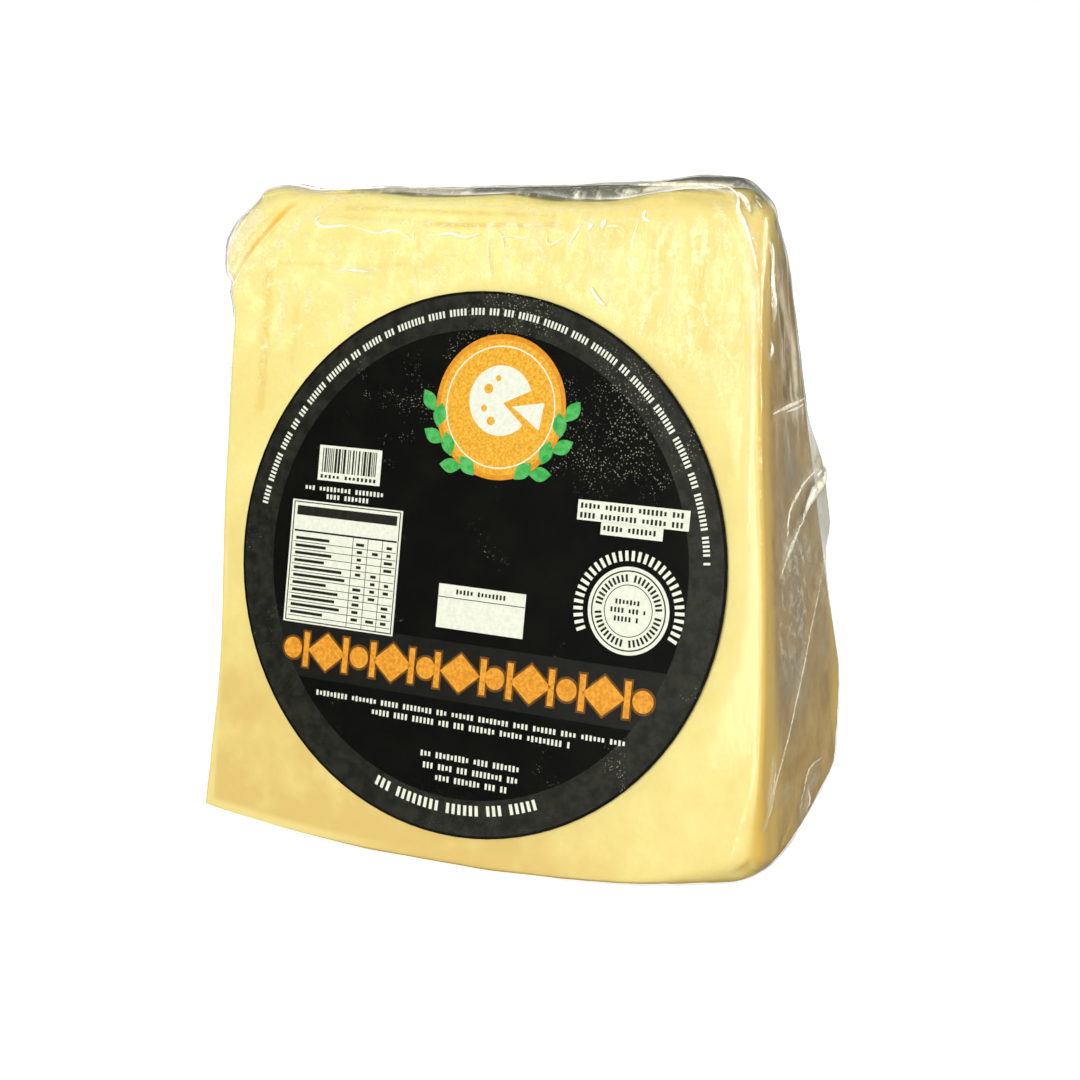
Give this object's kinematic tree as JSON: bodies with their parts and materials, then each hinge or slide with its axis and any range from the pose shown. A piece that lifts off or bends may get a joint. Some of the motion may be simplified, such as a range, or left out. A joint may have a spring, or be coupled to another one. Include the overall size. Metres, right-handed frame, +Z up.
{
  "type": "wrapped parmesan chunk",
  "caption": "Wedge of parmesan in clear stretch film, standing on its rind, with a round black label on its leaning cut face.",
  "frame": {"origin": "on the table, under the middle of the chunk's box", "axes": "+Z up, -Y towards the labelled cut face, X across the cut face along the wheel's axis"},
  "size_m": [0.1175, 0.0582, 0.1256],
  "materials": {
    "cheese": "satin",
    "label_paper": "satin",
    "film": null
  },
  "bodies": {
    "root": {"wrapped_cheese": "cheese", "label": "label_paper"}
  },
  "joints": []
}
